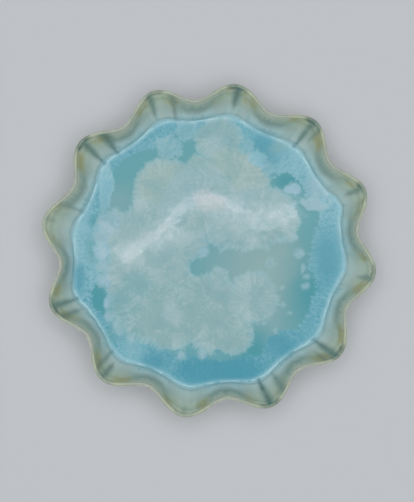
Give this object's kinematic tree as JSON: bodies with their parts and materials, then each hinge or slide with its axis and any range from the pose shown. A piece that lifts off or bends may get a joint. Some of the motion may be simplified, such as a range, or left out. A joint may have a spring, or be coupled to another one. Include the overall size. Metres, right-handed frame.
{
  "type": "cake plate",
  "caption": "Low round ceramic cake plate with a flat well, a flaring fluted wall and a foot ring, crystalline turquoise glaze inside and a celadon rim.",
  "frame": {"origin": "on the table, under the middle of the plate", "axes": "+Z up out of the well; +X to the right and +Y up in the picture"},
  "size_m": [0.2595, 0.259, 0.0371],
  "materials": {
    "stoneware": "bare fired stoneware, matt",
    "crystalline_glaze": "glossy turquoise glaze with pale macro-crystals",
    "celadon_glaze": "glossy grey-green celadon, breaking cream and ochre at the lip"
  },
  "bodies": {
    "root": {"floor_slab": "stoneware", "fluted_wall": "stoneware", "foot_ring": "stoneware", "well_glaze": "crystalline_glaze", "inner_wall_glaze": "celadon_glaze", "outer_wall_glaze": "celadon_glaze", "base_glaze": "celadon_glaze"}
  },
  "joints": []
}
